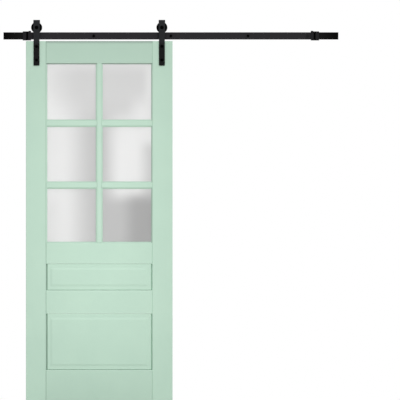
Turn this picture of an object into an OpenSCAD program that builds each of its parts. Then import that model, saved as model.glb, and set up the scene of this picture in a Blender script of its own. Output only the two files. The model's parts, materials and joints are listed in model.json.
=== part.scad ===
// Glass panel barn door: a painted leaf with six lites and two fielded panels, hung by two strap
// hangers on a flat rail that stands off the wall. Millimetres, +Z up, front towards -Y.
// The origin is on the wall plane, on the axis of the middle wall bolt.

/* [Rail] */
// Length of the flat rail
rail_len = 1858; // [1600:1:2600]
// Height of the rail
rail_h = 40; // [36:0.5:46]
// Thickness of the rail
rail_t = 6; // [5:0.5:7]
// Length of the wall spacers, from the wall to the back of the rail
standoff = 38; // [36:0.5:60]
// Outer diameter of the wall spacers
spacer_d = 24; // [18:0.5:26]
// Distance from the middle wall bolt to the next one
bolt_pitch = 428; // [300:1:500]
// Distance from the outer wall bolt to the middle of the end stop
bolt_to_stop = 40; // [38:0.5:80]
// Thread diameter of the wall bolts
wall_bolt_d = 8; // [6:0.5:9]
// Plain shank diameter of the wall bolts
wall_bolt_shank_d = 7.2; // [5:0.1:7.6]
// Head size of the wall bolts, across flats
wall_bolt_af = 13; // [12:0.5:16]
// Head height of the wall bolts
wall_bolt_head_h = 5.5; // [4:0.1:6.5]
// Depth that the wall bolts reach into the wall
wall_bolt_grip = 60; // [40:1:90]

/* [End stops] */
// Distance from the end of the rail to the middle of the end stop
stop_inset = 130; // [60:1:200]
// Length of the clamp along the rail
clamp_len = 19; // [16:0.5:26]
// Length of the rubber buffer between the clamp and the striker
buffer_len = 11; // [8:0.5:16]
// Length of the striker along the rail
striker_len = 15.4; // [13:0.1:20]
// Wall of the clamp, the buffer and the striker around the rail
stop_wall = 5; // [4.5:0.1:5.5]
// Wall of the clamp's neck, which carries the buffer and the striker
neck_wall = 2.6; // [2:0.1:3.2]
// Height of the nub on top of the striker
nub_h = 3; // [2:0.1:5]
// Diameter of the grub screws in the clamp
grub_d = 6; // [5:0.5:8]

/* [Wheels] */
// Radius of the tread that rolls on the rail
tread_r = 26; // [22:0.5:28]
// Radius over the flanges
flange_r = 30.5; // [29.5:0.1:32]
// Width of the wheel
wheel_w = 20; // [17:0.5:21]
// Width of the rail groove at the tread
wheel_groove_w = 8; // [7.6:0.1:9]
// Bore of the bearing and diameter of the axle bolt
axle_d = 10; // [8:0.5:12]
// Outer diameter of the bearing
bearing_d = 26; // [24:0.5:30]
// Width of the bearing
bearing_w = 8; // [6:0.5:9]

/* [Hangers] */
// Thickness of the strap
strap_t = 5; // [4:0.5:6]
// Width of the strap around the wheel
strap_head_w = 36; // [34:0.5:42]
// Width of the strap on the leaf
strap_leg_w = 32.5; // [26:0.5:33.5]
// Space between the two legs of the strap
fork_gap = 24; // [23.5:0.5:27]
// Inside radius of the bends over the wheel
bend_r = 8; // [5:0.5:10]
// Height of the strap above the wheel axle
strap_rise = 42.4; // [40:0.1:50]
// Length of the strap on the leaf
strap_drop = 136; // [120:1:160]
// Length of the back leg below the wheel axle
back_leg_drop = 15.3; // [12:0.1:17]
// Distance from the edge of the leaf to the middle of the strap
hanger_inset = 59; // [50:0.5:60]
// Distance from the top of the leaf to the upper strap bolt
strap_bolt_drop = 30; // [22:0.5:38]
// Distance between the two strap bolts
strap_bolt_pitch = 75; // [50:0.5:80]
// Diameter of the strap bolts
strap_bolt_d = 8; // [6:0.5:8]
// Free run between the parked wheel and the left striker
park_gap = 6.9; // [2:0.1:30]

/* [Leaf] */
// Width of the leaf
leaf_w = 813; // [700:1:960]
// Thickness of the leaf
leaf_t = 40; // [36:0.5:44]
// Gap between the rail and the top of the leaf
leaf_gap = 9; // [7:0.5:16]
// Width of the stiles
stile_w = 112; // [106:0.5:140]
// Height of the top rail
top_rail_h = 122; // [100:1:160]
// Height of the glazed opening
glazed_h = 997; // [900:1:1200]
// Height of the lock rail
lock_rail_h = 116; // [90:1:160]
// Height of the opening of the upper panel
upper_panel_h = 148; // [120:1:240]
// Height of the cross rail
cross_rail_h = 128.5; // [90:0.5:160]
// Height of the opening of the lower panel
lower_panel_h = 313.5; // [200:0.5:420]
// Height of the bottom rail
bottom_rail_h = 207; // [120:1:260]
// Chamfer along the arrises of the framing
arris = 2.5; // [1:0.1:3.5]

/* [Lites] */
// Face width of the vertical glazing bar
upright_bar_w = 26; // [22:0.5:36]
// Face width of the horizontal glazing bars
cross_bar_w = 29; // [22:0.5:36]
// Height of the lites in the upper row
upper_lite_h = 319.5; // [250:0.5:340]
// Height of the lites in the middle row
middle_lite_h = 314.5; // [250:0.5:340]
// Thickness of the glass
glass_t = 4; // [3:0.5:6]
// Depth of the glass below the front face of the leaf
glass_drop = 9; // [8:0.5:18]
// Width of the glazing beads on the glass
bead_w = 6; // [5:0.1:9]
// Width of the glazing beads at their front
bead_nose_w = 2; // [1.5:0.1:3]
// Depth of the sloping face of the beads
bead_slope = 4; // [2:0.1:4.5]
// Depth of the glazing beads below the face of the leaf
bead_setback = 3; // [2.6:0.1:4]

/* [Panels] */
// Thickness of the tongue around the panels
tongue_t = 14; // [10:0.5:18]
// Depth of the grooves that hold the panels
panel_groove_d = 10; // [7:0.5:14]
// Gap between the stiles and a panel, where the wood moves with the seasons
side_gap = 2.4; // [1:0.1:4]
// Gap between the rails and a panel
end_gap = 0.3; // [0.2:0.1:2]
// Width of the steep outer edge of the panel along the stiles
side_edge_w = 6; // [4:0.1:10]
// Width of the steep outer edge along the foot of the panel
foot_edge_w = 3.2; // [2:0.1:10]
// Width of the steep outer edge along the head of the panel
head_edge_w = 0.3; // [0.2:0.1:10]
// Depth of the panel's border below the face of the leaf
border_drop = 4; // [3:0.1:8]
// Width of the border of the panel, from the edge of the opening to the slope
border_w = 22; // [16:0.1:30]
// Width of the slope between the border and the field
slope_w = 12; // [6:0.1:20]
// Depth of the panel's field below the face of the leaf
field_drop = 1; // [0.5:0.1:2.5]

/* [Joinery] */
// Thickness of the tenons
tenon_t = 13; // [10:0.5:16]
// Length of the tenons
tenon_len = 40; // [25:0.5:42]
// Distance from the edge of a rail to its tenon
tenon_shoulder = 22; // [18:0.5:30]
// Length of the stub tenons on the glazing bars
stub_len = 12; // [8:0.5:18]
// Distance from the face of a glazing bar to its stub tenon
stub_shoulder = 5; // [3:0.5:8]

/* [Floor guide] */
// Gap between the leaf and the floor
floor_gap = 12; // [9:0.5:18]
// Width of the groove under the leaf
guide_groove_w = 7; // [6:0.1:9]
// Depth of the groove under the leaf
guide_groove_d = 16; // [12:0.5:17.5]
// Distance from the edge of the parked leaf to the middle of the floor guide
guide_inset = 9; // [3:0.5:12]
// Length of the fin along the leaf
fin_len = 24; // [16:0.5:30]
// Length of the base plate
guide_len = 76; // [66:1:100]
// Width of the base plate
guide_w = 32; // [26:1:50]
// Thickness of the base plate
guide_t = 5; // [4:0.5:7]
// Distance between the two screw holes in the base plate
guide_hole_pitch = 48; // [44:0.5:50]
// Diameter of the screw holes in the base plate
guide_hole_d = 5; // [4:0.1:6]
// Depth of the countersinks on the screw holes
guide_sink = 2.2; // [1.5:0.1:2.4]

/* [Clearances] */
// Clearance around a bolt in its hole, on the radius
bolt_clear = 0.5; // [0.2:0.05:0.8]
// Clearance between a thread or bearing and what runs in it, on the radius
running_clear = 0.05; // [0.02:0.01:0.1]
// Clearance between the wheel tread and the rail
ride_clear = 0.3; // [0.2:0.05:0.5]
// Clearance around the rail inside the end stops
stop_clear = 0.2; // [0.1:0.05:0.4]
// Clearance around a tenon, tongue, lap or bead
joint_clear = 0.15; // [0.05:0.05:0.3]
// Clearance between the edge of a pane and the framing
pane_clear = 1; // [0.5:0.1:2]
// Clearance between the fin and the side of its groove
fin_clear = 0.3; // [0.2:0.05:0.6]
// Clearance between the end of the fin or of a tenon and the bottom of its slot
end_clear = 2; // [0.5:0.1:3]

/* [Hidden] */
$fn = 96;
node = "all";
// Margin by which a cutting tool passes the face that it cuts
over = 1;

// Finishes
MINT_PAINT = "#BDD8C6";
FROSTED_GLASS = [0.88, 0.88, 0.88, 0.9];
BLACK_STEEL = "#2D2C30";
BLACK_OXIDE = "#0E0E10";
BLACK_RUBBER = "#18181A";
BLACK_NYLON = "#0A0A0B";
BEARING_STEEL = "#9EA1A6";

// Places along and across the track
rail_y = -(standoff + rail_t / 2);
rail_front = rail_y - rail_t / 2;
stop_x = rail_len / 2 - stop_inset;
wall_bolt_x = [for (m = [-1, 1], x = [stop_x - bolt_to_stop, bolt_pitch]) m * x];
wall_bolts_at = concat([0], wall_bolt_x);
stop_len = clamp_len + buffer_len + striker_len;
striker_face = stop_x - stop_len / 2;
stop_h = rail_h + 2 * stop_wall;
stop_t = rail_t + 2 * stop_wall;
nub_top = stop_h / 2 + nub_h;

// Places of the wheels and hangers
axle_z = rail_h / 2 + ride_clear + tread_r;
touch_reach = sqrt(max(1, pow(flange_r, 2) - pow(axle_z - nub_top, 2)));
hanger_span = leaf_w - 2 * hanger_inset;
left_hanger_x = -striker_face + touch_reach + park_gap;
fork_half = fork_gap / 2;
axle_r = axle_d / 2;
axle_nut_af = 1.7 * axle_d;
axle_nut_h = 0.8 * axle_d;
button_head_d = 2.1;
button_head_h = 0.5;
socket_af = 0.6;
socket_depth = 0.3;

// Places in the leaf, measured from the top middle of its middle plane
leaf_x = left_hanger_x + hanger_span / 2;
leaf_y = rail_y - fork_half + leaf_t / 2;
leaf_top = -rail_h / 2 - leaf_gap;
opening_w = leaf_w - 2 * stile_w;
STACK = [top_rail_h, glazed_h, lock_rail_h, upper_panel_h, cross_rail_h, lower_panel_h, bottom_rail_h];
function sum_to(list, n) = n == 0 ? 0 : list[n - 1] + sum_to(list, n - 1);
function level(n) = -sum_to(STACK, n);
leaf_h = sum_to(STACK, len(STACK));
TOP_RAIL = 0;
GLAZING = 1;
LOCK_RAIL = 2;
UPPER_PANEL = 3;
CROSS_RAIL = 4;
LOWER_PANEL = 5;
BOTTOM_RAIL = 6;
lower_lite_h = glazed_h - upper_lite_h - middle_lite_h - 2 * cross_bar_w;
LITE_ROWS = [upper_lite_h, middle_lite_h, lower_lite_h];
lite_w = (opening_w - upright_bar_w) / 2;
function lite_top(row) = level(GLAZING) - sum_to(LITE_ROWS, row) - row * cross_bar_w;
function lite_z(row) = lite_top(row) - LITE_ROWS[row] / 2;
function lite_x(side) = side * (lite_w + upright_bar_w) / 2;
function cross_bar_z(bar) = lite_top(bar) - LITE_ROWS[bar] - cross_bar_w / 2;
strap_bolt_z = [for (n = [0, 1]) -strap_bolt_drop - n * strap_bolt_pitch];
stub_t = tenon_t - 1;
barrel_r = strap_bolt_d / 2 + 1;
barrel_head_r = barrel_r + 4;
barrel_head_t = 2;
glass_y = glass_drop + glass_t / 2 - leaf_t / 2;
floor_z = leaf_top - leaf_h - floor_gap;
guide_x = leaf_x + leaf_w / 2 - guide_inset;

// Names of the sub-parts
SIDES = ["left", "right"];
ROWS = ["upper", "middle", "lower"];
function lite_name(row, side, piece) = str(ROWS[row], "_", SIDES[side], "_", piece);
function sided(piece) = [for (s = SIDES) str(s, "_", piece)];
function glazed(piece) = [for (row = [0:2], side = [0, 1]) lite_name(row, side, piece)];
NODES = concat(
    ["rail", "wall_spacers", "wall_bolts", "floor_guide"],
    sided("stop_clamp"), sided("stop_buffer"), sided("stop_striker"), sided("stop_screws"),
    sided("stile"), ["top_rail", "lock_rail", "cross_rail", "bottom_rail"],
    ["upper_panel", "lower_panel", "upright_bar", "upper_cross_bar", "lower_cross_bar"],
    glazed("pane"), glazed("front_bead"), glazed("back_bead"),
    sided("hanger"), sided("axle_bolt"), sided("axle_nut"), sided("axle_bushes"),
    sided("strap_bolts"), sided("barrel_nuts"), sided("wheel"), sided("bearing")
);
function shown(name) = node == "all" || node == name;
function sign_of(side) = side == 0 ? -1 : 1;

// Shapes that several sub-parts share

// Turns a solid that was made along Z so that it points to the back, along +Y
module along_y() rotate([-90, 0, 0]) children();

// Runs an outline drawn as (Y, Z) along X, centred
module run_x(length) rotate([90, 0, 90]) linear_extrude(length, center = true) children();

// Runs an outline drawn as (X, Z) along Y, centred
module run_y(length) rotate([90, 0, 0]) linear_extrude(length, center = true) children();

// Rectangle with chamfered corners, centred
module chamfered(a, b, c) {
    polygon([
        [a / 2, b / 2 - c], [a / 2 - c, b / 2], [c - a / 2, b / 2], [-a / 2, b / 2 - c],
        [-a / 2, c - b / 2], [c - a / 2, -b / 2], [a / 2 - c, -b / 2], [a / 2, c - b / 2],
    ]);
}

// Rectangle with round corners, centred
module rounded(a, b, r) {
    square([a, b - 2 * r], center = true);
    square([a - 2 * r, b], center = true);
    for (x = [-1, 1], y = [-1, 1]) translate([x * (a / 2 - r), y * (b / 2 - r)]) circle(r);
}

// Planed board of the leaf's thickness, centred, with chamfered arrises on both faces
module board(w, h) {
    intersection() {
        linear_extrude(h, center = true) chamfered(w, leaf_t, arris);
        run_x(w) chamfered(leaf_t, h, arris);
    }
}

// Hexagonal prism of a given size across flats
module hexagon(af, h) cylinder(h = h, r = af / 2 / cos(30), $fn = 6);

// Hexagonal head or nut, with its corners turned off at the far end
module hex_head(af, h) {
    face_r = 0.475 * af;
    turned_r = af / 2 / cos(30) + over;
    intersection() {
        hexagon(af, h);
        rotate_extrude() polygon([
            [0, 0], [turned_r, 0], [turned_r, h - (turned_r - face_r) * tan(30)], [face_r, h], [0, h],
        ]);
    }
}

// Wide button head bolt with a hexagon socket, head at the front, seated at Y = 0
module button_bolt(d, length) {
    head_r = button_head_d * d / 2;
    head_h = button_head_h * d;
    dome_r = (pow(head_r, 2) + pow(head_h, 2)) / (2 * head_h);
    difference() {
        union() {
            along_y() cylinder(h = length, d = d);
            rotate([90, 0, 0]) rotate_extrude() intersection() {
                square([head_r, head_h]);
                translate([0, head_h - dome_r]) circle(dome_r);
            }
        }
        translate([0, -head_h - over, 0]) along_y() hexagon(socket_af * d, socket_depth * d + over);
    }
}

// Places children in the leaf, from the top middle of its middle plane
module in_leaf() translate([leaf_x, leaf_y, leaf_top]) children();

// Places children at the axle of a hanger
module at_hanger(side) translate([leaf_x + sign_of(side) * hanger_span / 2, rail_y, axle_z]) children();

// Track

module rail() {
    color(BLACK_STEEL) difference() {
        translate([0, rail_y, 0]) cube([rail_len, rail_t, rail_h], center = true);
        for (x = wall_bolts_at) translate([x, rail_front - over, 0])
            along_y() cylinder(h = rail_t + 2 * over, d = wall_bolt_d + 2 * bolt_clear);
    }
}

module wall_spacers() {
    edge = 1;
    color(BLACK_STEEL) for (x = wall_bolts_at) translate([x, -standoff, 0]) along_y() difference() {
        rotate_extrude() polygon([
            [0, 0], [spacer_d / 2 - edge, 0], [spacer_d / 2, edge],
            [spacer_d / 2, standoff - edge], [spacer_d / 2 - edge, standoff], [0, standoff],
        ]);
        translate([0, 0, -over]) cylinder(h = standoff + 2 * over, d = wall_bolt_d + 2 * bolt_clear);
    }
}

// Lag bolts: the thread starts at the wall plane and ends in a gimlet point
module wall_bolts() {
    point_len = wall_bolt_d;
    point_r = 0.6;
    color(BLACK_OXIDE) for (x = wall_bolts_at) translate([x, 0, 0]) along_y() {
        translate([0, 0, rail_front]) mirror([0, 0, 1]) hex_head(wall_bolt_af, wall_bolt_head_h);
        translate([0, 0, rail_front]) cylinder(h = -rail_front, d = wall_bolt_shank_d);
        cylinder(h = wall_bolt_grip - point_len, d = wall_bolt_d);
        translate([0, 0, wall_bolt_grip - point_len])
            cylinder(h = point_len, r1 = wall_bolt_d / 2, r2 = point_r);
    }
}

// End stops, drawn for the right end with the striker towards the middle of the rail

stop_round = 3.5;
grub_z = rail_h / 4;
clamp_in = stop_x + stop_len / 2 - clamp_len;
striker_out = striker_face + striker_len;
neck_seat = striker_len / 2;

// Slot for the rail through a stop
module rail_slot() {
    translate([stop_x, rail_y, 0])
        cube([2 * stop_len, rail_t + 2 * stop_clear, rail_h + 2 * stop_clear], center = true);
}

// Outline of the neck, on which the buffer and the striker sit
module neck_outline(clear) {
    grow = 2 * (neck_wall + clear);
    square([rail_t + grow, rail_h + grow], center = true);
}

module stop_clamp() {
    neck_end = striker_out - neck_seat;
    color(BLACK_STEEL) difference() {
        union() {
            translate([clamp_in + clamp_len / 2, rail_y, 0]) run_x(clamp_len) rounded(stop_t, stop_h, stop_round);
            translate([(clamp_in + neck_end) / 2, rail_y, 0]) run_x(clamp_in - neck_end) neck_outline(0);
        }
        rail_slot();
        for (z = [-grub_z, grub_z]) translate([clamp_in + clamp_len / 2, rail_y, z])
            along_y() cylinder(h = stop_t, d = grub_d + 2 * running_clear);
    }
}

// Rubber ring that the striker presses against the clamp
module stop_buffer() {
    color(BLACK_RUBBER) translate([striker_out + buffer_len / 2, rail_y, 0]) difference() {
        run_x(buffer_len) rounded(stop_t, stop_h, stop_round);
        run_x(buffer_len + 2 * over) neck_outline(joint_clear);
    }
}

module stop_striker() {
    nub_len = striker_len - 2;
    nub_w = stop_t - 2 * stop_round;
    color(BLACK_STEEL) difference() {
        union() {
            translate([striker_face + striker_len / 2, rail_y, 0]) run_x(striker_len) rounded(stop_t, stop_h, stop_round);
            translate([striker_face + nub_len / 2, rail_y, nub_top - nub_h]) run_y(nub_w) rounded(nub_len, 2 * nub_h, 1.5);
        }
        rail_slot();
        translate([striker_out, rail_y, 0]) run_x(2 * (neck_seat + joint_clear)) neck_outline(joint_clear);
    }
}

// Grub screws that bear on the back of the rail
module stop_screws() {
    grub_len = stop_wall;
    color(BLACK_OXIDE) for (z = [-grub_z, grub_z]) translate([clamp_in + clamp_len / 2, -standoff, z]) along_y()
        difference() {
            cylinder(h = grub_len, d = grub_d);
            translate([0, 0, grub_len / 2]) hexagon(grub_d / 2, grub_len);
        }
}

// Mirrors what is drawn for the right end over to the left end
module at_end(side) mirror([1 - side, 0, 0]) children();

module floor_guide() {
    fin_w = guide_groove_w - 2 * fin_clear;
    fin_top = floor_gap + guide_groove_d - end_clear;
    fin_lead = 4;
    plate_round = 8;
    color(BLACK_NYLON) translate([guide_x, leaf_y, floor_z]) difference() {
        union() {
            linear_extrude(guide_t) rounded(guide_len, guide_w, plate_round);
            run_y(fin_w) polygon([
                [-fin_len / 2 - guide_t, guide_t / 2], [fin_len / 2 + guide_t, guide_t / 2],
                [fin_len / 2, floor_gap], [fin_len / 2, fin_top - fin_lead], [fin_len / 2 - fin_lead, fin_top],
                [fin_lead - fin_len / 2, fin_top], [-fin_len / 2, fin_top - fin_lead], [-fin_len / 2, floor_gap],
            ]);
        }
        for (m = [-1, 1]) translate([m * guide_hole_pitch / 2, 0, 0]) {
            translate([0, 0, -over]) cylinder(h = guide_t + 2 * over, d = guide_hole_d);
            translate([0, 0, guide_t - guide_sink])
                cylinder(h = guide_sink + over, r1 = guide_hole_d / 2, r2 = guide_hole_d / 2 + guide_sink + over);
        }
    }
}

// Framing of the leaf

// Groove under the leaf, full width, in which the floor guide runs
module guide_groove() {
    translate([0, 0, -leaf_h]) cube([leaf_w + 2 * over, guide_groove_w, 2 * guide_groove_d], center = true);
}

// Space for a rail's tenons or a tenon bar itself, as long as both tenons and the opening together
module tenon_bar(n, clear) {
    translate([0, 0, level(n) - STACK[n] / 2]) cube([
        opening_w + 2 * (tenon_len + (clear > 0 ? end_clear : 0)),
        tenon_t + 2 * clear,
        STACK[n] - 2 * tenon_shoulder + 2 * clear,
    ], center = true);
}

// Stub tenons of a cross bar, or the space for them
module cross_stub(bar, clear) {
    translate([0, 0, cross_bar_z(bar)]) cube([
        opening_w + 2 * (stub_len + (clear > 0 ? end_clear : 0)),
        stub_t + 2 * clear,
        cross_bar_w - 2 * stub_shoulder + 2 * clear,
    ], center = true);
}

// Stub tenons of the upright bar, or the space for them
module upright_stub(clear) {
    translate([0, 0, level(GLAZING) - glazed_h / 2]) cube([
        upright_bar_w - 2 * stub_shoulder + 2 * clear,
        stub_t + 2 * clear,
        glazed_h + 2 * (stub_len + (clear > 0 ? end_clear : 0)),
    ], center = true);
}

// Groove all round the opening of a panel
module panel_groove(n) {
    grow = 2 * panel_groove_d;
    translate([0, 0, level(n) - STACK[n] / 2])
        cube([opening_w + grow, tongue_t + 2 * joint_clear, STACK[n] + grow], center = true);
}

module stile(side) {
    x = sign_of(side) * (opening_w + stile_w) / 2;
    color(MINT_PAINT) in_leaf() difference() {
        translate([x, 0, -leaf_h / 2]) board(stile_w, leaf_h);
        for (n = [TOP_RAIL, LOCK_RAIL, CROSS_RAIL, BOTTOM_RAIL]) tenon_bar(n, joint_clear);
        for (bar = [0, 1]) cross_stub(bar, joint_clear);
        for (n = [UPPER_PANEL, LOWER_PANEL]) panel_groove(n);
        for (z = strap_bolt_z) translate([sign_of(side) * hanger_span / 2, -leaf_t, z])
            along_y() cylinder(h = 2 * leaf_t, r = barrel_r + joint_clear);
        guide_groove();
    }
}

// Rail of the leaf with a tenon at each end, before its edges are grooved
module leaf_rail(n) {
    translate([0, 0, level(n) - STACK[n] / 2]) board(opening_w, STACK[n]);
    tenon_bar(n, 0);
}

module top_rail() color(MINT_PAINT) in_leaf() difference() {
    leaf_rail(TOP_RAIL);
    upright_stub(joint_clear);
}

module lock_rail() color(MINT_PAINT) in_leaf() difference() {
    leaf_rail(LOCK_RAIL);
    upright_stub(joint_clear);
    panel_groove(UPPER_PANEL);
}

module cross_rail() color(MINT_PAINT) in_leaf() difference() {
    leaf_rail(CROSS_RAIL);
    panel_groove(UPPER_PANEL);
    panel_groove(LOWER_PANEL);
}

module bottom_rail() color(MINT_PAINT) in_leaf() difference() {
    leaf_rail(BOTTOM_RAIL);
    panel_groove(LOWER_PANEL);
    guide_groove();
}

// Section of a fielded panel across an opening of the given size, the same on both faces: its steep
// edges may differ at the near and the far end
function panel_quarter(size, gap, edge_w) = let (
    tongue_x = size / 2 + panel_groove_d - end_clear / 2,
    edge_x = size / 2 - gap,
    slope_x = size / 2 - border_w,
    border_y = leaf_t / 2 - border_drop
) [
    [tongue_x, tongue_t / 2], [edge_x, tongue_t / 2], [edge_x - edge_w, border_y],
    [slope_x, border_y], [slope_x - slope_w, leaf_t / 2 - field_drop],
];
function reversed(list) = [for (i = [len(list) - 1:-1:0]) list[i]];
function panel_section(size, gap, near_edge_w, far_edge_w) = let (
    far = panel_quarter(size, gap, far_edge_w),
    near = panel_quarter(size, gap, near_edge_w)
) concat(
    far,
    [for (p = reversed(near)) [-p[0], p[1]]],
    [for (p = near) [-p[0], -p[1]]],
    [for (p = reversed(far)) [p[0], -p[1]]]
);

// Fielded panel: the common part of its section run upwards and its section run across
module fielded_panel(n) {
    long = 2 * (opening_w + STACK[n]);
    color(MINT_PAINT) in_leaf() translate([0, 0, level(n) - STACK[n] / 2]) intersection() {
        linear_extrude(long, center = true) polygon(panel_section(opening_w, side_gap, side_edge_w, side_edge_w));
        run_x(long) polygon([for (p = panel_section(STACK[n], end_gap, foot_edge_w, head_edge_w)) [p[1], p[0]]]);
    }
}

// Glazing

// Box that takes half the leaf's thickness away at a lap: front is -1, back is 1
module lap(x, z, w, h, face) {
    translate([x, face * leaf_t / 2, z]) cube([w, leaf_t, h], center = true);
}

module upright_bar() color(MINT_PAINT) in_leaf() difference() {
    union() {
        translate([0, 0, level(GLAZING) - glazed_h / 2]) board(upright_bar_w, glazed_h);
        upright_stub(0);
    }
    for (bar = [0, 1]) lap(0, cross_bar_z(bar), 2 * upright_bar_w, cross_bar_w + 2 * joint_clear, 1);
}

module cross_bar(bar) color(MINT_PAINT) in_leaf() difference() {
    union() {
        translate([0, 0, cross_bar_z(bar)]) board(opening_w, cross_bar_w);
        cross_stub(bar, 0);
    }
    lap(0, cross_bar_z(bar), upright_bar_w + 2 * joint_clear, 2 * cross_bar_w, -1);
}

module pane(row, side) {
    color(FROSTED_GLASS) in_leaf() translate([lite_x(sign_of(side)), glass_y, lite_z(row)])
        cube([lite_w - 2 * pane_clear, glass_t, LITE_ROWS[row] - 2 * pane_clear], center = true);
}

// Bead along the top of an opening: face is -1 on the front and 1 on the back
module bead_stick(length, reach, face) {
    seat = glass_y + face * (glass_t / 2 + joint_clear);
    nose = face * (leaf_t / 2 - bead_setback);
    back = reach - joint_clear;
    mitre = length / 2 - joint_clear;
    intersection() {
        run_x(length) polygon([
            [seat, back], [seat, reach - bead_w], [nose - face * bead_slope, reach - bead_w],
            [nose, reach - bead_nose_w], [nose, back],
        ]);
        run_y(2 * leaf_t) polygon([
            [-mitre - over, reach + over], [mitre + over, reach + over],
            [mitre - bead_w - over, reach - bead_w - over], [bead_w + over - mitre, reach - bead_w - over],
        ]);
    }
}

// Four mitred sticks round one lite
module bead(row, side, face) {
    size = [lite_w, LITE_ROWS[row]];
    color(MINT_PAINT) in_leaf() translate([lite_x(sign_of(side)), 0, lite_z(row)])
        for (turn = [0:3]) rotate([0, 90 * turn, 0]) bead_stick(size[turn % 2], size[1 - turn % 2] / 2, face);
}

// Hangers, drawn about the wheel axle

strap_top = strap_rise;
strap_bottom = leaf_top - strap_drop - axle_z;
leaf_face_y = -fork_half;

// Arch outline (Y, Z) with two round corners at the top
module arch(half, top, r, bottom) {
    translate([-half, bottom]) square([2 * half, top - r - bottom]);
    translate([r - half, bottom]) square([2 * (half - r), top - bottom]);
    for (m = [-1, 1]) translate([m * (half - r), top - r]) circle(r);
}

// What a round corner at the lower right of an outline takes away, drawn about the corner's centre
module round_off(r) difference() {
    translate([0, -r - over]) square(r + over);
    circle(r);
}

// Front outline (X, Z) of the strap: wide round the wheel, narrower on the leaf, with a rounded end
module strap_outline() {
    taper_top = rail_h / 2 - axle_z;
    taper_bottom = taper_top - rail_h;
    end_r = 4;
    difference() {
        polygon([
            [-strap_head_w / 2, strap_top], [strap_head_w / 2, strap_top], [strap_head_w / 2, taper_top],
            [strap_leg_w / 2, taper_bottom], [strap_leg_w / 2, strap_bottom],
            [-strap_leg_w / 2, strap_bottom], [-strap_leg_w / 2, taper_bottom], [-strap_head_w / 2, taper_top],
        ]);
        for (m = [0, 1]) mirror([m, 0])
            translate([strap_leg_w / 2 - end_r, strap_bottom + end_r]) round_off(end_r);
    }
}

module hanger(side) {
    half = fork_half + strap_t;
    color(BLACK_STEEL) at_hanger(side) difference() {
        intersection() {
            run_x(strap_head_w) difference() {
                arch(half, strap_top, bend_r + strap_t, strap_bottom);
                arch(fork_half, strap_top - strap_t, bend_r, strap_bottom - over);
                translate([0, strap_bottom - over]) square([2 * half, over - strap_bottom - back_leg_drop]);
            }
            run_y(4 * half) strap_outline();
        }
        translate([0, -2 * half, 0]) along_y() cylinder(h = 4 * half, r = axle_r + 2 * running_clear);
        for (z = strap_bolt_z) translate([0, -2 * half, leaf_top + z - axle_z])
            along_y() cylinder(h = 2 * half, r = strap_bolt_d / 2 + bolt_clear);
    }
}

module axle_bolt(side) {
    thread_end = 2;
    length = fork_gap + 2 * strap_t + axle_nut_h + thread_end;
    color(BLACK_OXIDE) at_hanger(side) translate([0, -fork_half - strap_t, 0]) button_bolt(axle_d, length);
}

module axle_nut(side) {
    color(BLACK_OXIDE) at_hanger(side) translate([0, fork_half + strap_t, 0]) along_y() difference() {
        hex_head(axle_nut_af, axle_nut_h);
        translate([0, 0, -over]) cylinder(h = axle_nut_h + 2 * over, r = axle_r + running_clear);
    }
}

// Tubes on the axle that hold the bearing in the middle of the fork
module axle_bushes(side) {
    length = (fork_gap - bearing_w) / 2;
    bush_wall = 2;
    color(BEARING_STEEL) at_hanger(side) for (y = [-fork_half, fork_half - length]) translate([0, y, 0])
        along_y() difference() {
            cylinder(h = length, r = axle_r + bush_wall);
            translate([0, 0, -over]) cylinder(h = length + 2 * over, r = axle_r + running_clear);
        }
}

module strap_bolts(side) {
    length = strap_t + leaf_t * 0.75;
    color(BLACK_OXIDE) at_hanger(side) for (z = strap_bolt_z)
        translate([0, leaf_face_y - strap_t, leaf_top + z - axle_z]) button_bolt(strap_bolt_d, length);
}

// Sleeve nuts let into the back of the leaf, with a thin head that has a driver slot
module barrel_nuts(side) {
    length = leaf_t * 0.6;
    slot_w = 1.6;
    color(BLACK_OXIDE) at_hanger(side) for (z = strap_bolt_z)
        translate([0, leaf_face_y + leaf_t, leaf_top + z - axle_z]) difference() {
            union() {
                along_y() cylinder(h = barrel_head_t, r = barrel_head_r);
                translate([0, -length, 0]) along_y() cylinder(h = length, r = barrel_r);
            }
            translate([0, -length - over, 0]) along_y()
                cylinder(h = length + over, r = strap_bolt_d / 2 + running_clear);
            translate([0, barrel_head_t, 0]) cube([2 * barrel_head_r + over, barrel_head_t, slot_w], center = true);
        }
}

// Grooved wheel: two flanges, a groove with sloping sides, a thinned web and a seat for the bearing
module wheel(side) {
    half = wheel_w / 2;
    groove_half = wheel_groove_w / 2;
    groove_lean = 1;
    edge = 1.5;
    seat_r = bearing_d / 2 + running_clear;
    lip_r = seat_r - 2;
    rim_in = tread_r - 4;
    hub_r = seat_r + 4;
    web_half = half - 2.5;
    color(BLACK_NYLON) at_hanger(side) along_y() rotate_extrude() polygon([
        [lip_r, -half], [hub_r, -half], [hub_r + 1, -web_half], [rim_in - 1, -web_half], [rim_in, -half],
        [flange_r - edge, -half], [flange_r, edge - half], [flange_r, -groove_half - groove_lean],
        [tread_r, -groove_half], [tread_r, groove_half],
        [flange_r, groove_half + groove_lean], [flange_r, half - edge], [flange_r - edge, half],
        [rim_in, half], [rim_in - 1, web_half], [hub_r + 1, web_half], [hub_r, half],
        [seat_r, half], [seat_r, -bearing_w / 2], [lip_r, -bearing_w / 2],
    ]);
}

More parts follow.
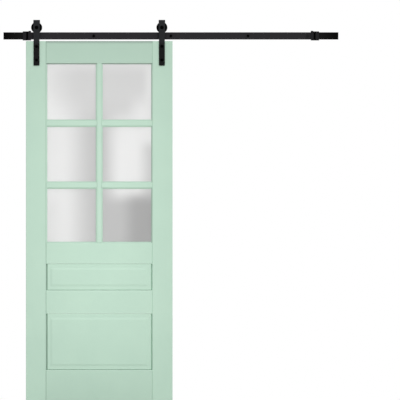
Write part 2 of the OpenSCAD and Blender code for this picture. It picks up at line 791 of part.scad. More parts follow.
// Sealed ball bearing with sunk shields
module bearing(side) {
    ring_w = 2.2;
    shield_sink = 0.5;
    in_r = axle_r + running_clear;
    out_r = bearing_d / 2;
    half = bearing_w / 2;
    color(BEARING_STEEL) at_hanger(side) along_y() rotate_extrude() polygon([
        [in_r, -half], [in_r + ring_w, -half], [in_r + ring_w, shield_sink - half],
        [out_r - ring_w, shield_sink - half], [out_r - ring_w, -half], [out_r, -half],
        [out_r, half], [out_r - ring_w, half], [out_r - ring_w, half - shield_sink],
        [in_r + ring_w, half - shield_sink], [in_r + ring_w, half], [in_r, half],
    ]);
}

// Track
if (shown("rail")) rail();
if (shown("wall_spacers")) wall_spacers();
if (shown("wall_bolts")) wall_bolts();
if (shown("floor_guide")) floor_guide();
for (side = [0, 1]) {
    if (shown(sided("stop_clamp")[side])) at_end(side) stop_clamp();
    if (shown(sided("stop_buffer")[side])) at_end(side) stop_buffer();
    if (shown(sided("stop_striker")[side])) at_end(side) stop_striker();
    if (shown(sided("stop_screws")[side])) at_end(side) stop_screws();
}

// Leaf
for (side = [0, 1]) if (shown(sided("stile")[side])) stile(side);
if (shown("top_rail")) top_rail();
if (shown("lock_rail")) lock_rail();
if (shown("cross_rail")) cross_rail();
if (shown("bottom_rail")) bottom_rail();
if (shown("upper_panel")) fielded_panel(UPPER_PANEL);
if (shown("lower_panel")) fielded_panel(LOWER_PANEL);
if (shown("upright_bar")) upright_bar();
if (shown("upper_cross_bar")) cross_bar(0);
if (shown("lower_cross_bar")) cross_bar(1);
for (row = [0:2], side = [0, 1]) {
    if (shown(lite_name(row, side, "pane"))) pane(row, side);
    if (shown(lite_name(row, side, "front_bead"))) bead(row, side, -1);
    if (shown(lite_name(row, side, "back_bead"))) bead(row, side, 1);
}

// Hangers
for (side = [0, 1]) {
    if (shown(sided("hanger")[side])) hanger(side);
    if (shown(sided("axle_bolt")[side])) axle_bolt(side);
    if (shown(sided("axle_nut")[side])) axle_nut(side);
    if (shown(sided("axle_bushes")[side])) axle_bushes(side);
    if (shown(sided("strap_bolts")[side])) strap_bolts(side);
    if (shown(sided("barrel_nuts")[side])) barrel_nuts(side);
    if (shown(sided("wheel")[side])) wheel(side);
    if (shown(sided("bearing")[side])) bearing(side);
}
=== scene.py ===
# Looks of the glass panel barn door: the finish of every piece, the lag bolt threads, camera and light.
import json
import math

import bmesh
import bpy
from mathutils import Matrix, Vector


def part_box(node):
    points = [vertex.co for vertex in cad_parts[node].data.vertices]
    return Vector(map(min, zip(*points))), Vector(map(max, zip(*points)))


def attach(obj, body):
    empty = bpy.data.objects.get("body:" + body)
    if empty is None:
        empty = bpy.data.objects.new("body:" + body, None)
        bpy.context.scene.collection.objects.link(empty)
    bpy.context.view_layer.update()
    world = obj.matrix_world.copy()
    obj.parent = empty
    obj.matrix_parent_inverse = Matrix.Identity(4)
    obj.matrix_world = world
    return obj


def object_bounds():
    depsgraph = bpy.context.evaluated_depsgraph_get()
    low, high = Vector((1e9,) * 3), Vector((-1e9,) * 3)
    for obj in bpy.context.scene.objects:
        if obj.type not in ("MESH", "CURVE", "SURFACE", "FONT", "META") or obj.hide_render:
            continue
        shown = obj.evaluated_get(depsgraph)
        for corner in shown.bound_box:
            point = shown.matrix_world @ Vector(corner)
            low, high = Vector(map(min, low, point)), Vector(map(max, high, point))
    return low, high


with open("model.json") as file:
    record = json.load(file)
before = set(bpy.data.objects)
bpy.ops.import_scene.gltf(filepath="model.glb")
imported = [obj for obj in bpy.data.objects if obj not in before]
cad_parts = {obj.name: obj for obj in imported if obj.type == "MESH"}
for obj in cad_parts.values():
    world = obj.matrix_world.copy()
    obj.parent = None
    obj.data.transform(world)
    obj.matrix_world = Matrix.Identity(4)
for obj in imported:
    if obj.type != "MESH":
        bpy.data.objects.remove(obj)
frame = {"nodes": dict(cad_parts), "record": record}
cad_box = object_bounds()

# Places in metres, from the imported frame
MM = 0.001
X_AXIS, Z_AXIS = 0, 2
LEAF_LOW, LEAF_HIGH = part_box("left_stile")[0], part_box("right_stile")[1]
LEAF_CENTRE = (LEAF_LOW + LEAF_HIGH) / 2
STILE_SIDE_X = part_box("left_stile")[1].x
BEAD_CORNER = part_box("upper_right_front_bead")[1]
TOP_RAIL_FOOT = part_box("top_rail")[0].z
LOCK_RAIL_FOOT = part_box("lock_rail")[0].z
CROSS_RAIL_FOOT, CROSS_RAIL_HEAD = [corner.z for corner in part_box("cross_rail")]
BOTTOM_RAIL_FOOT, BOTTOM_RAIL_HEAD = [corner.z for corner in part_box("bottom_rail")]
CLAMP_MIDDLE_X = (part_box("right_stop_clamp")[0].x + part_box("right_stop_clamp")[1].x) / 2
RAIL_END_X = cad_box[1].x
FLOOR_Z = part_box("floor_guide")[0].z


# Helpers for nodes and objects

# Sockets of a Mix node: its factor, its two numbers and two colours, and what it gives out
FACTOR, NUMBER_A, NUMBER_B, COLOUR_A, COLOUR_B = 0, 2, 3, 6, 7
MIXED_NUMBER, MIXED_COLOUR = 0, 2
# A wave texture turns through 20 radians per unit of its scale
WAVES_PER_SCALE = math.tau / 20


def linear(hex_colour):
    """The linear RGBA of an sRGB colour written as six hex digits."""
    channels = [int(hex_colour[i:i + 2], 16) / 255 for i in (1, 3, 5)]
    return [c / 12.92 if c <= 0.04045 else ((c + 0.055) / 1.055) ** 2.4 for c in channels] + [1.0]


def per_metre(size_mm):
    """The texture scale at which one feature of a pattern is this many millimetres wide."""
    return 1 / (size_mm * MM)


def add(tree, kind, inputs=None, **settings):
    """Adds a node, sets its own settings, then fills or links its input sockets."""
    node = tree.nodes.new(kind)
    for name, value in settings.items():
        setattr(node, name, value)
    for key, value in (inputs or {}).items():
        if isinstance(value, bpy.types.NodeSocket):
            tree.links.new(value, node.inputs[key])
        else:
            node.inputs[key].default_value = value
    return node


def new_material(name):
    """An empty node material: itself, its tree, its surface socket and its Object coordinates."""
    material = bpy.data.materials.new(name)
    material.use_nodes = True
    tree = material.node_tree
    tree.nodes.clear()
    output = add(tree, "ShaderNodeOutputMaterial")
    place = add(tree, "ShaderNodeTexCoord").outputs["Object"]
    return material, tree, output.inputs["Surface"], place


def put_in_scene(name, data):
    """A new object in the scene that shows this mesh, camera or light."""
    thing = bpy.data.objects.new(name, data)
    bpy.context.scene.collection.objects.link(thing)
    return thing


def put_mesh_in_scene(name, shape, finish):
    """A new object in the scene from a bmesh and one material."""
    data = bpy.data.meshes.new(name)
    shape.to_mesh(data)
    shape.free()
    data.materials.append(finish)
    return put_in_scene(name, data)


# Finishes

MINT_SHADE, MINT_LIGHT = "#BAD7C6", "#C2DECC"
# Grey-green of the painted shade laid into the lacquer
PAINTED_SHADE = "#8FA398"
# Pale mint of the painted highlights laid into the lacquer
PAINTED_HIGHLIGHT = "#DFF7E8"
GRAIN_STRETCH = 40
PEEL_SHARE = 0.35


def mint_lacquer(name, grain_axis, tints=()):
    """Solid wood, primed and sprayed with satin mint lacquer: an even pale green with a soft sheen, a little
    cloudiness from spraying, fine orange peel and a trace of the grain along the piece. A tint is painted
    shade or a painted highlight laid into the colour: its colour, an axis, where it begins and is full along
    that axis, and its least and most."""
    material, tree, surface, place = new_material(name)
    cloud = add(tree, "ShaderNodeTexNoise", {"Vector": place, "Scale": per_metre(180), "Detail": 3.0})
    colour = add(tree, "ShaderNodeMix", {
        FACTOR: cloud.outputs["Fac"], COLOUR_A: linear(MINT_SHADE), COLOUR_B: linear(MINT_LIGHT),
    }, data_type="RGBA")
    axes = add(tree, "ShaderNodeSeparateXYZ", {"Vector": place})
    # Each tint lays painted shade or a painted highlight over the colour
    for tint, axis, begins, full, least, most in tints:
        amount = add(tree, "ShaderNodeMapRange", {
            "Value": axes.outputs[axis], "From Min": begins, "From Max": full,
            "To Min": least, "To Max": most,
        }, interpolation_type="SMOOTHSTEP")
        colour = add(tree, "ShaderNodeMix", {
            FACTOR: amount.outputs[0], COLOUR_A: colour.outputs[MIXED_COLOUR], COLOUR_B: linear(tint),
        }, data_type="RGBA")

    stretch = [1.0, 1.0, 1.0]
    stretch[grain_axis] = 1 / GRAIN_STRETCH
    along = add(tree, "ShaderNodeMapping", {"Vector": place, "Scale": stretch})
    # Real pores are about 0.3 mm wide: drawn at 3 mm so that they show
    grain = add(tree, "ShaderNodeTexNoise", {
        "Vector": along.outputs[0], "Scale": per_metre(3), "Detail": 4.0,
    })
    # Real orange peel is about 1 mm across: drawn at 2.5 mm so that it shows
    peel = add(tree, "ShaderNodeTexNoise", {"Vector": place, "Scale": per_metre(2.5), "Detail": 2.0})
    skin = add(tree, "ShaderNodeMix", {
        FACTOR: PEEL_SHARE, NUMBER_A: grain.outputs["Fac"], NUMBER_B: peel.outputs["Fac"],
    })
    bump = add(tree, "ShaderNodeBump", {
        "Strength": 0.05, "Distance": 0.4 * MM, "Height": skin.outputs[MIXED_NUMBER],
    })
    gloss = add(tree, "ShaderNodeMapRange", {"Value": cloud.outputs["Fac"], "To Min": 0.36, "To Max": 0.5})
    shader = add(tree, "ShaderNodeBsdfPrincipled", {
        "Base Color": colour.outputs[MIXED_COLOUR], "Roughness": gloss.outputs[0],
        "Normal": bump.outputs[0], "IOR": 1.5, "Specular IOR Level": 0.4,
    })
    tree.links.new(shader.outputs[0], surface)
    return material


# Painted light and shade on the glass, standing in for what shows through it: a round painted shade high up,
# then painted bands that fade in across X and along Z, in mm
GLASS_BRIGHT = "#FCFCFC"
GLASS_LOBE = "#E1E1E1"
LOBE_CENTRE = Vector((-350, 0, -240)) * MM
LOBE_REACH = Vector((455, 1000, 410)) * MM
LOBE_FULL = 0.65
EVERYWHERE = (-5000, -4999)
GLASS_PAINTED_TONES = (
    ("#F1F1F1", EVERYWHERE, (-230, -120)),      # lit band under the top rail
    ("#F3F3F3", EVERYWHERE, (-440, -550)),      # even light below
    ("#D1D1D1", (-610, -415), (-320, -560)),    # shade behind the upright bar
    ("#F4F4F4", (-395, -270), (-380, -515)),    # bright patch to the right of it
    ("#F4F4F4", (-260, -160), (-290, -450)),    # upper right corner of that patch
    ("#F0F0F0", (-165, -112), (-540, -470)),    # lit edge at the far right, high up
    ("#DCDCDC", (-200, -110), (-560, -640)),    # dim edge at the far right
    ("#EDEDED", (-560, -690), (-860, -950)),    # faint shade low on the left
    ("#CBCBCB", (-400, -385), (-845, -950)),    # low shade on the right
    ("#B5B5B5", (-290, -180), (-845, -950)),    # darkest corner of it
)


def etched_glass():
    """Float glass, satin etched on the front: milky and fine grained, lit from behind, with wide soft greys
    of painted light and shade laid into its colour."""
    material, tree, surface, place = new_material("satin_etched_glass")
    axes = add(tree, "ShaderNodeSeparateXYZ", {"Vector": place})
    about_lobe = add(tree, "ShaderNodeMapping", {
        "Vector": place, "Location": LOBE_CENTRE, "Scale": LOBE_REACH,
    }, vector_type="TEXTURE")
    lobe = add(tree, "ShaderNodeTexGradient", {"Vector": about_lobe.outputs[0]}, gradient_type="SPHERICAL")
    lobe_fade = add(tree, "ShaderNodeMapRange", {
        "Value": lobe.outputs["Fac"], "From Max": LOBE_FULL,
    }, interpolation_type="SMOOTHSTEP")
    # Painted shade: a round grey lobe over the bright glass
    tone = add(tree, "ShaderNodeMix", {
        FACTOR: lobe_fade.outputs[0], COLOUR_A: linear(GLASS_BRIGHT), COLOUR_B: linear(GLASS_LOBE),
    }, data_type="RGBA")
    # Each band lays a painted shade or painted light over the tones before it
    for shade, (x_clear, x_full), (z_clear, z_full) in GLASS_PAINTED_TONES:
        across = add(tree, "ShaderNodeMapRange", {
            "Value": axes.outputs["X"], "From Min": x_clear * MM, "From Max": x_full * MM,
        }, interpolation_type="SMOOTHSTEP")
        upward = add(tree, "ShaderNodeMapRange", {
            "Value": axes.outputs["Z"], "From Min": z_clear * MM, "From Max": z_full * MM,
        }, interpolation_type="SMOOTHSTEP")
        both = add(tree, "ShaderNodeMath", {
            0: across.outputs[0], 1: upward.outputs[0],
        }, operation="MULTIPLY")
        tone = add(tree, "ShaderNodeMix", {
            FACTOR: both.outputs[0], COLOUR_A: tone.outputs[MIXED_COLOUR], COLOUR_B: linear(shade),
        }, data_type="RGBA")

    # Real etching is about 0.05 mm: drawn at 1.2 mm so that it shows
    grit = add(tree, "ShaderNodeTexNoise", {"Vector": place, "Scale": per_metre(1.2), "Detail": 2.0})
    bump = add(tree, "ShaderNodeBump", {
        "Strength": 0.08, "Distance": 0.1 * MM, "Height": grit.outputs["Fac"],
    })
    rough = add(tree, "ShaderNodeMapRange", {"Value": grit.outputs["Fac"], "To Min": 0.3, "To Max": 0.42})
    shader = add(tree, "ShaderNodeBsdfPrincipled", {
        "Base Color": tone.outputs[MIXED_COLOUR], "Roughness": rough.outputs[0],
        "Normal": bump.outputs[0], "IOR": 1.5, "Transmission Weight": 0.6, "Specular IOR Level": 0.4,
    })
    tree.links.new(shader.outputs[0], surface)
    return material


# Depth below the top of the leaf at which the painted shade on the hangers is full
FOOT_FADE = 30 * MM


def powder_coat(name, shade, light, end_painted_shades=(), foot_painted_shade=None):
    """Mild steel with a fine textured black powder coat: dark charcoal, matt, with a pebbled skin. On the
    rail the ends beyond the stops are painted darker as painted shade, to black at the tips. The hangers
    carry painted shade where they lie on the leaf. An end shade is its colour, and where it begins and is
    full, from the middle of the rail."""
    material, tree, surface, place = new_material(name)
    # Real texture is about 0.5 mm: drawn at 1.5 mm so that it shows
    pebble = add(tree, "ShaderNodeTexNoise", {"Vector": place, "Scale": per_metre(1.5), "Detail": 3.0})
    colour = add(tree, "ShaderNodeMix", {
        FACTOR: pebble.outputs["Fac"], COLOUR_A: linear(shade), COLOUR_B: linear(light),
    }, data_type="RGBA")
    axes = add(tree, "ShaderNodeSeparateXYZ", {"Vector": place})
    # Painted shade: darker beyond the stops, to black at the tips of the rail
    for end_painted_shade, begins, full in end_painted_shades:
        from_middle = add(tree, "ShaderNodeMath", {0: axes.outputs["X"]}, operation="ABSOLUTE")
        beyond = add(tree, "ShaderNodeMapRange", {
            "Value": from_middle.outputs[0], "From Min": begins, "From Max": full,
        })
        colour = add(tree, "ShaderNodeMix", {
            FACTOR: beyond.outputs[0], COLOUR_A: colour.outputs[MIXED_COLOUR], COLOUR_B: linear(end_painted_shade),
        }, data_type="RGBA")
    # Painted shade: the hangers darken below the top of the leaf
    if foot_painted_shade:
        below = add(tree, "ShaderNodeMapRange", {
            "Value": axes.outputs["Z"], "From Min": LEAF_HIGH.z, "From Max": LEAF_HIGH.z - FOOT_FADE,
        }, interpolation_type="SMOOTHSTEP")
        colour = add(tree, "ShaderNodeMix", {
            FACTOR: below.outputs[0], COLOUR_A: colour.outputs[MIXED_COLOUR], COLOUR_B: linear(foot_painted_shade),
        }, data_type="RGBA")
    bump = add(tree, "ShaderNodeBump", {
        "Strength": 0.25, "Distance": 0.2 * MM, "Height": pebble.outputs["Fac"],
    })
    shader = add(tree, "ShaderNodeBsdfPrincipled", {
        "Base Color": colour.outputs[MIXED_COLOUR], "Roughness": 0.6, "Normal": bump.outputs[0],
        "IOR": 1.5, "Specular IOR Level": 0.05,
    })
    tree.links.new(shader.outputs[0], surface)
    return material


# The outermost wall bolts are the only ones that lie this far from the middle of the rail
OUTER_GREY_BEGINS, OUTER_GREY_FULL = 600 * MM, 610 * MM


def black_oxide(name, outer_grey=None):
    """Hardened steel with an oiled black oxide skin: nearly black, with a low patchy sheen. Given a grey, the
    outermost wall bolts are dark grey."""
    material, tree, surface, place = new_material(name)
    bloom = add(tree, "ShaderNodeTexNoise", {"Vector": place, "Scale": per_metre(4), "Detail": 3.0})
    colour = add(tree, "ShaderNodeMix", {
        FACTOR: bloom.outputs["Fac"], COLOUR_A: linear("#010101"), COLOUR_B: linear("#040404"),
    }, data_type="RGBA")
    # The outermost wall bolts turn dark grey rather than near black
    if outer_grey:
        axes = add(tree, "ShaderNodeSeparateXYZ", {"Vector": place})
        from_middle = add(tree, "ShaderNodeMath", {0: axes.outputs["X"]}, operation="ABSOLUTE")
        outer_grey_mask = add(tree, "ShaderNodeMapRange", {
            "Value": from_middle.outputs[0], "From Min": OUTER_GREY_BEGINS, "From Max": OUTER_GREY_FULL,
        })
        colour = add(tree, "ShaderNodeMix", {
            FACTOR: outer_grey_mask.outputs[0], COLOUR_A: colour.outputs[MIXED_COLOUR], COLOUR_B: linear(outer_grey),
        }, data_type="RGBA")
    rough = add(tree, "ShaderNodeMapRange", {"Value": bloom.outputs["Fac"], "To Min": 0.35, "To Max": 0.55})
    shader = add(tree, "ShaderNodeBsdfPrincipled", {
        "Base Color": colour.outputs[MIXED_COLOUR], "Roughness": rough.outputs[0],
        "Specular IOR Level": 0.02,
    })
    tree.links.new(shader.outputs[0], surface)
    return material


def moulded_rubber():
    """Moulded black rubber: matt, deep black, with a faint bloom."""
    material, tree, surface, place = new_material("moulded_black_rubber")
    bloom = add(tree, "ShaderNodeTexNoise", {"Vector": place, "Scale": per_metre(6), "Detail": 4.0})
    colour = add(tree, "ShaderNodeMix", {
        FACTOR: bloom.outputs["Fac"], COLOUR_A: linear("#010101"), COLOUR_B: linear("#030303"),
    }, data_type="RGBA")
    shader = add(tree, "ShaderNodeBsdfPrincipled", {
        "Base Color": colour.outputs[MIXED_COLOUR], "Roughness": 0.85, "IOR": 1.52,
        "Specular IOR Level": 0.03,
    })
    tree.links.new(shader.outputs[0], surface)
    return material


def turned_nylon():
    """Black nylon, turned on a lathe: deep black and dull, with fine tool lines round the axle."""
    material, tree, surface, place = new_material("turned_black_nylon")
    # Real tool lines are about 0.2 mm apart: drawn 1.5 mm apart so that they show
    lines = add(tree, "ShaderNodeTexWave", {
        "Vector": place, "Scale": per_metre(1.5) * WAVES_PER_SCALE, "Distortion": 0.5,
    }, wave_type="BANDS", bands_direction="Y")
    colour = add(tree, "ShaderNodeMix", {
        FACTOR: lines.outputs["Fac"], COLOUR_A: linear("#030303"), COLOUR_B: linear("#060606"),
    }, data_type="RGBA")
    bump = add(tree, "ShaderNodeBump", {
        "Strength": 0.1, "Distance": 0.1 * MM, "Height": lines.outputs["Fac"],
    })
    shader = add(tree, "ShaderNodeBsdfPrincipled", {
        "Base Color": colour.outputs[MIXED_COLOUR], "Roughness": 0.55, "Normal": bump.outputs[0],
        "IOR": 1.53, "Specular IOR Level": 0.03,
    })
    tree.links.new(shader.outputs[0], surface)
    return material


def ground_steel():
    """Bearing steel, ground: bright grey with a fine uneven polish."""
    material, tree, surface, place = new_material("ground_bearing_steel")
    # Real grinding marks are about 0.1 mm: drawn at 1 mm so that they show
    polish = add(tree, "ShaderNodeTexNoise", {"Vector": place, "Scale": per_metre(1), "Detail": 3.0})
    colour = add(tree, "ShaderNodeMix", {
        FACTOR: polish.outputs["Fac"], COLOUR_A: linear("#B2B5B9"), COLOUR_B: linear("#C0C3C7"),
    }, data_type="RGBA")
    rough = add(tree, "ShaderNodeMapRange", {"Value": polish.outputs["Fac"], "To Min": 0.2, "To Max": 0.35})
    shader = add(tree, "ShaderNodeBsdfPrincipled", {
        "Base Color": colour.outputs[MIXED_COLOUR], "Metallic": 1.0, "Roughness": rough.outputs[0],
    })
    tree.links.new(shader.outputs[0], surface)
    return material


# Tints of the lacquer, painted shade and painted highlights: colour, axis, where it begins and is full along
# that axis, its least and its most
# Painted shadow of the track along the top of the top rail
TRACK_PAINTED_SHADE = (PAINTED_SHADE, Z_AXIS, LEAF_HIGH.z - 18 * MM, LEAF_HIGH.z, 0.16, 0.88)
# Painted shade: the bottom rail darkens towards its foot
BOTTOM_RAIL_PAINTED_SHADE = (PAINTED_SHADE, Z_AXIS, BOTTOM_RAIL_HEAD, BOTTOM_RAIL_FOOT, 0.06, 0.13)
# Painted shadow lines along the top of the upper beads and the right side of the right-hand beads
BEAD_HEAD_PAINTED_SHADE = (PAINTED_SHADE, Z_AXIS, BEAD_CORNER.z - 7 * MM, BEAD_CORNER.z - 6 * MM, 0.0, 0.88)
BEAD_SIDE_PAINTED_SHADE = (PAINTED_SHADE, X_AXIS, BEAD_CORNER.x - 7 * MM, BEAD_CORNER.x - 6 * MM, 0.0, 0.5)
# Painted shadow line along the inner edge of the left stile
STILE_EDGE_PAINTED_SHADE = (PAINTED_SHADE, X_AXIS, STILE_SIDE_X - 7 * MM, STILE_SIDE_X - 4 * MM, 0.0, 0.24)
# Painted shadow line along the left side of each panel
PANEL_SIDE_PAINTED_SHADE = (PAINTED_SHADE, X_AXIS, STILE_SIDE_X + 5.2 * MM, STILE_SIDE_X + 4.2 * MM, 0.0, 0.62)
# Painted highlights at the foot of the upper panel and at the head of the lower panel
UPPER_PANEL_PAINTED_HIGHLIGHT = (PAINTED_HIGHLIGHT, Z_AXIS, CROSS_RAIL_HEAD + 3 * MM, CROSS_RAIL_HEAD + 1.5 * MM, 0.0, 0.8)
LOWER_PANEL_PAINTED_HIGHLIGHT = (PAINTED_HIGHLIGHT, Z_AXIS, CROSS_RAIL_FOOT - 3.2 * MM, CROSS_RAIL_FOOT - 1.5 * MM, 0.0, 1.0)
# How far from the edge of a rail the painted highlight on its arris begins and is full
ARRIS_BEGINS, ARRIS_FULL = 3.5 * MM, 2.5 * MM
TOP_RAIL_PAINTED_HIGHLIGHT = (PAINTED_HIGHLIGHT, Z_AXIS, TOP_RAIL_FOOT + ARRIS_BEGINS, TOP_RAIL_FOOT + ARRIS_FULL, 0.0, 0.5)
LOCK_RAIL_PAINTED_HIGHLIGHT = (PAINTED_HIGHLIGHT, Z_AXIS, LOCK_RAIL_FOOT + ARRIS_BEGINS, LOCK_RAIL_FOOT + ARRIS_FULL, 0.0, 0.9)
CROSS_FOOT_PAINTED_HIGHLIGHT = (PAINTED_HIGHLIGHT, Z_AXIS, CROSS_RAIL_FOOT + ARRIS_BEGINS, CROSS_RAIL_FOOT + ARRIS_FULL, 0.0, 1.0)
CROSS_HEAD_PAINTED_HIGHLIGHT = (PAINTED_HIGHLIGHT, Z_AXIS, CROSS_RAIL_HEAD - ARRIS_BEGINS, CROSS_RAIL_HEAD - ARRIS_FULL, 0.0, 0.7)
BOTTOM_RAIL_PAINTED_HIGHLIGHT = (PAINTED_HIGHLIGHT, Z_AXIS, BOTTOM_RAIL_HEAD - ARRIS_BEGINS, BOTTOM_RAIL_HEAD - ARRIS_FULL, 0.0, 0.5)

# Finish of each imported piece: by its slot, or by its own name
# How far either side of the middle of a stop clamp the painted shade on the rail fades in
STOP_SHADE_REACH = 8 * MM
UPRIGHT_GRAIN = mint_lacquer("mint_lacquer_upright_grain", Z_AXIS)
CROSS_GRAIN = mint_lacquer("mint_lacquer_cross_grain", X_AXIS)
BEAD_FINISH = mint_lacquer("mint_lacquer_on_beads_painted_shade", X_AXIS, [BEAD_HEAD_PAINTED_SHADE, BEAD_SIDE_PAINTED_SHADE])
# Painted shade on the hangers where they lie on the leaf
HANGER_COAT = powder_coat("powder_coat_on_hangers", "#27282A", "#2D2E30", foot_painted_shade="#191A1A")
# Painted shade on the rail's ends, beyond the stops
RAIL_COAT = powder_coat("powder_coat_on_rail_painted_shade_at_ends", "#2A292B", "#302F32", (
    ("#181818", CLAMP_MIDDLE_X - STOP_SHADE_REACH, CLAMP_MIDDLE_X + STOP_SHADE_REACH),
    ("#000000", CLAMP_MIDDLE_X, RAIL_END_X),
))
BLACK_OXIDE = black_oxide("black_oxide_steel")
SLOT_FINISH = {
    "painted_wood": CROSS_GRAIN,
    "frosted_glass": etched_glass(),
    "black_steel": powder_coat("black_powder_coat_on_steel", "#212022", "#262528"),
    "black_oxide": BLACK_OXIDE,
    "black_rubber": moulded_rubber(),
    "black_nylon": turned_nylon(),
    "bearing_steel": ground_steel(),
}
NODE_FINISH = {
    "rail": RAIL_COAT,
    "wall_bolts": black_oxide("black_oxide_on_wall_bolts_grey_at_ends", "#262628"),
    "left_hanger": HANGER_COAT,
    "right_hanger": HANGER_COAT,
    "left_stile": mint_lacquer("mint_lacquer_painted_shade_along_joint", Z_AXIS, [STILE_EDGE_PAINTED_SHADE]),
    "right_stile": UPRIGHT_GRAIN,
    "upright_bar": UPRIGHT_GRAIN,
    "top_rail": mint_lacquer("mint_lacquer_painted_shade_and_highlight_on_top_rail", X_AXIS, [TRACK_PAINTED_SHADE, TOP_RAIL_PAINTED_HIGHLIGHT]),
    # Painted highlights along the arrises of the lock rail and the cross rail
    "lock_rail": mint_lacquer("mint_lacquer_painted_highlight_under_lock_rail", X_AXIS, [LOCK_RAIL_PAINTED_HIGHLIGHT]),
    "cross_rail": mint_lacquer("mint_lacquer_painted_highlights_on_cross_rail", X_AXIS, [
        CROSS_FOOT_PAINTED_HIGHLIGHT, CROSS_HEAD_PAINTED_HIGHLIGHT,
    ]),
    "bottom_rail": mint_lacquer("mint_lacquer_painted_shade_and_highlight_on_bottom_rail", X_AXIS, [BOTTOM_RAIL_PAINTED_SHADE, BOTTOM_RAIL_PAINTED_HIGHLIGHT]),
    "upper_panel": mint_lacquer("mint_lacquer_painted_shade_and_highlight_at_foot", Z_AXIS, [PANEL_SIDE_PAINTED_SHADE, UPPER_PANEL_PAINTED_HIGHLIGHT]),
    "lower_panel": mint_lacquer("mint_lacquer_painted_shade_and_highlight_at_head", Z_AXIS, [PANEL_SIDE_PAINTED_SHADE, LOWER_PANEL_PAINTED_HIGHLIGHT]),
    **{name: BEAD_FINISH for name in frame["nodes"] if name.endswith("front_bead")},
}

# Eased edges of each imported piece, in mm: by its slot, or by its own name where they have to be finer
EDGE_MM = {
    "painted_wood": 0.4, "black_steel": 0.8, "black_oxide": 0.3, "black_rubber": 0.8, "black_nylon": 0.4,
    "bearing_steel": 0.2, "frosted_glass": 0.3,
}
NODE_EDGE_MM = {
    "upper_panel": 0.05, "lower_panel": 0.05, "lock_rail": 0.05, "cross_rail": 0.05, "wall_spacers": 0.2,
}
FACET_JOIN = 0.005 * MM
FLAT_WITHIN = math.radians(0.5)
EDGE_FROM = math.radians(30)
EDGE_SEGMENTS = 2

for part in frame["record"]["subparts"]:
    node, slot = part["node"], part["material_slot"]
    piece = frame["nodes"][node]
    piece.data.materials.clear()
    piece.data.materials.append(NODE_FINISH.get(node, SLOT_FINISH[slot]))
    weld = piece.modifiers.new("joined_facets", "WELD")
    weld.merge_threshold = FACET_JOIN
    flat = piece.modifiers.new("whole_flats", "DECIMATE")
    flat.decimate_type = "DISSOLVE"
    flat.angle_limit = FLAT_WITHIN
    bevel = piece.modifiers.new("eased_edges", "BEVEL")
    bevel.width = NODE_EDGE_MM.get(node, EDGE_MM[slot]) * MM
    bevel.segments = EDGE_SEGMENTS
    bevel.limit_method = "ANGLE"
    bevel.angle_limit = EDGE_FROM


# Threads of the lag bolts, on the part of each bolt that goes into the wall

THREAD_PITCH = 3.5 * MM
THREAD_START, THREAD_END = 2 * MM, 50 * MM
# Section of the ridge: radius, and rise as a share of the pitch
THREAD_SECTION = ((3.8 * MM, 0.0), (4.5 * MM, 0.3), (3.8 * MM, 0.6))
STEPS_PER_TURN = 20
SEAM_JOIN = 0.001 * MM


def lag_threads(bolt_places):
    """One ridge wound along the end of each lag bolt."""
    ridges = bmesh.new()
    turns = (THREAD_END - THREAD_START) / THREAD_PITCH
    for x in bolt_places:
        section = [
            ridges.verts.new((x + radius, THREAD_START + rise * THREAD_PITCH, 0))
            for radius, rise in THREAD_SECTION
        ]
        ring = [ridges.edges.new((section[i - 1], section[i])) for i in range(len(section))]
        bmesh.ops.spin(
            ridges, geom=section + ring, cent=(x, 0, 0), axis=(0, 1, 0),
            dvec=(0, THREAD_PITCH / STEPS_PER_TURN, 0),
            angle=turns * math.tau, steps=round(turns * STEPS_PER_TURN), use_merge=False,
        )
    bmesh.ops.remove_doubles(ridges, verts=ridges.verts, dist=SEAM_JOIN)
    open_edges = [edge for edge in ridges.edges if edge.is_boundary]
    bmesh.ops.holes_fill(ridges, edges=open_edges, sides=len(THREAD_SECTION))
    bmesh.ops.recalc_face_normals(ridges, faces=ridges.faces)
    return put_mesh_in_scene("lag_threads", ridges, BLACK_OXIDE)


threads = lag_threads([
    mount["pos_m"][0] for mount in frame["record"]["mounts"] if mount["kind"] == "pin"
])
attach(threads, "track")

# Floor: far out in front, and behind only as deep as it stays below the camera's frame
FLOOR_FRONT, FLOOR_BACK, FLOOR_SIDE = -24.0, 0.95, 16.0
pale, pale_tree, pale_surface, _ = new_material("pale_studio_floor")
matt = add(pale_tree, "ShaderNodeBsdfPrincipled", {"Base Color": linear("#D4D4D1"), "Roughness": 0.9})
pale_tree.links.new(matt.outputs[0], pale_surface)
sheet = bmesh.new()
bmesh.ops.create_grid(sheet, x_segments=1, y_segments=1, size=0.5)
bmesh.ops.scale(sheet, vec=(2 * FLOOR_SIDE, FLOOR_BACK - FLOOR_FRONT, 1), verts=sheet.verts)
bmesh.ops.translate(sheet, vec=(0, (FLOOR_BACK + FLOOR_FRONT) / 2, FLOOR_Z), verts=sheet.verts)
floor = put_mesh_in_scene("studio_floor", sheet, pale)

# Camera: level and square on, as wide as the photograph's frame at the face of the leaf
FRAME_W = 2218.4 * MM
FRAME_CENTRE_X, FRAME_CENTRE_Z = 161.4 * MM, -910.5 * MM
CAMERA_DISTANCE = 24.0
TURNED_LEVEL = (math.radians(90), 0, 0)
camera_data = bpy.data.cameras.new("camera")
camera_data.sensor_width = 36.0
camera_data.lens = camera_data.sensor_width * CAMERA_DISTANCE / FRAME_W
camera = put_in_scene("camera", camera_data)
camera.location = (FRAME_CENTRE_X, LEAF_LOW.y - CAMERA_DISTANCE, FRAME_CENTRE_Z)
camera.rotation_euler = TURNED_LEVEL
bpy.context.scene.camera = camera

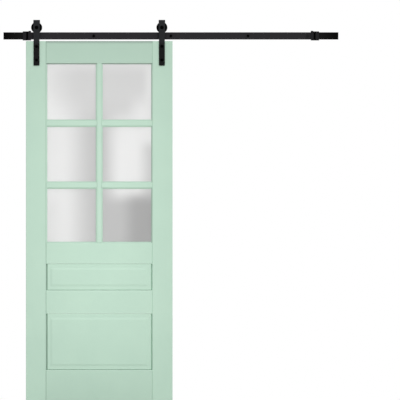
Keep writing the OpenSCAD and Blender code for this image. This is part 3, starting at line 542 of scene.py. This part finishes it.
# Light: a white room, a broad key from above on the right, and a strip softbox before the middle of the leaf
WHITE = (1, 1, 1, 1)
ROOM_LIGHT = 0.634
BACK_LIGHT = 1.1
SIDE_BLEND = 0.1
KEY_STRENGTH = 1.0
KEY_SPREAD = math.radians(25)
KEY_FROM = Vector((0.45, -0.8, 0.75))
STRIP_POWER = 1.18
STRIP_W, STRIP_H = 0.6, 1.5
STRIP_DISTANCE = 0.5
STRIP_Z = -1.0

# The room lights the back a little more than the front, and the camera sees it plain white
world = bpy.data.worlds.new("white_room")
bpy.context.scene.world = world
world.use_nodes = True
room = world.node_tree
room.nodes.clear()
direction = add(room, "ShaderNodeTexCoord").outputs["Generated"]
towards = add(room, "ShaderNodeSeparateXYZ", {"Vector": direction})
strength = add(room, "ShaderNodeMapRange", {
    "Value": towards.outputs["Y"], "From Min": -SIDE_BLEND, "From Max": SIDE_BLEND,
    "To Min": ROOM_LIGHT, "To Max": BACK_LIGHT,
})
lit = add(room, "ShaderNodeBackground", {"Color": WHITE, "Strength": strength.outputs[0]})
seen = add(room, "ShaderNodeBackground", {"Color": WHITE, "Strength": 1.0})
ray = add(room, "ShaderNodeLightPath")
lit_or_seen = add(room, "ShaderNodeMixShader", {
    0: ray.outputs["Is Camera Ray"], 1: lit.outputs[0], 2: seen.outputs[0],
})
add(room, "ShaderNodeOutputWorld", {"Surface": lit_or_seen.outputs[0]})

key_data = bpy.data.lights.new("overhead_key", "SUN")
key_data.energy = KEY_STRENGTH
key_data.angle = KEY_SPREAD
key = put_in_scene("overhead_key", key_data)
key.rotation_euler = (-KEY_FROM).to_track_quat("-Z", "Y").to_euler()

strip_data = bpy.data.lights.new("strip_softbox", "AREA")
strip_data.shape = "RECTANGLE"
strip_data.size, strip_data.size_y = STRIP_W, STRIP_H
strip_data.energy = STRIP_POWER
strip = put_in_scene("strip_softbox", strip_data)
strip.location = (LEAF_CENTRE.x, LEAF_LOW.y - STRIP_DISTANCE, STRIP_Z)
strip.rotation_euler = TURNED_LEVEL
strip.visible_camera = False

bpy.context.scene.view_settings.view_transform = "Standard"
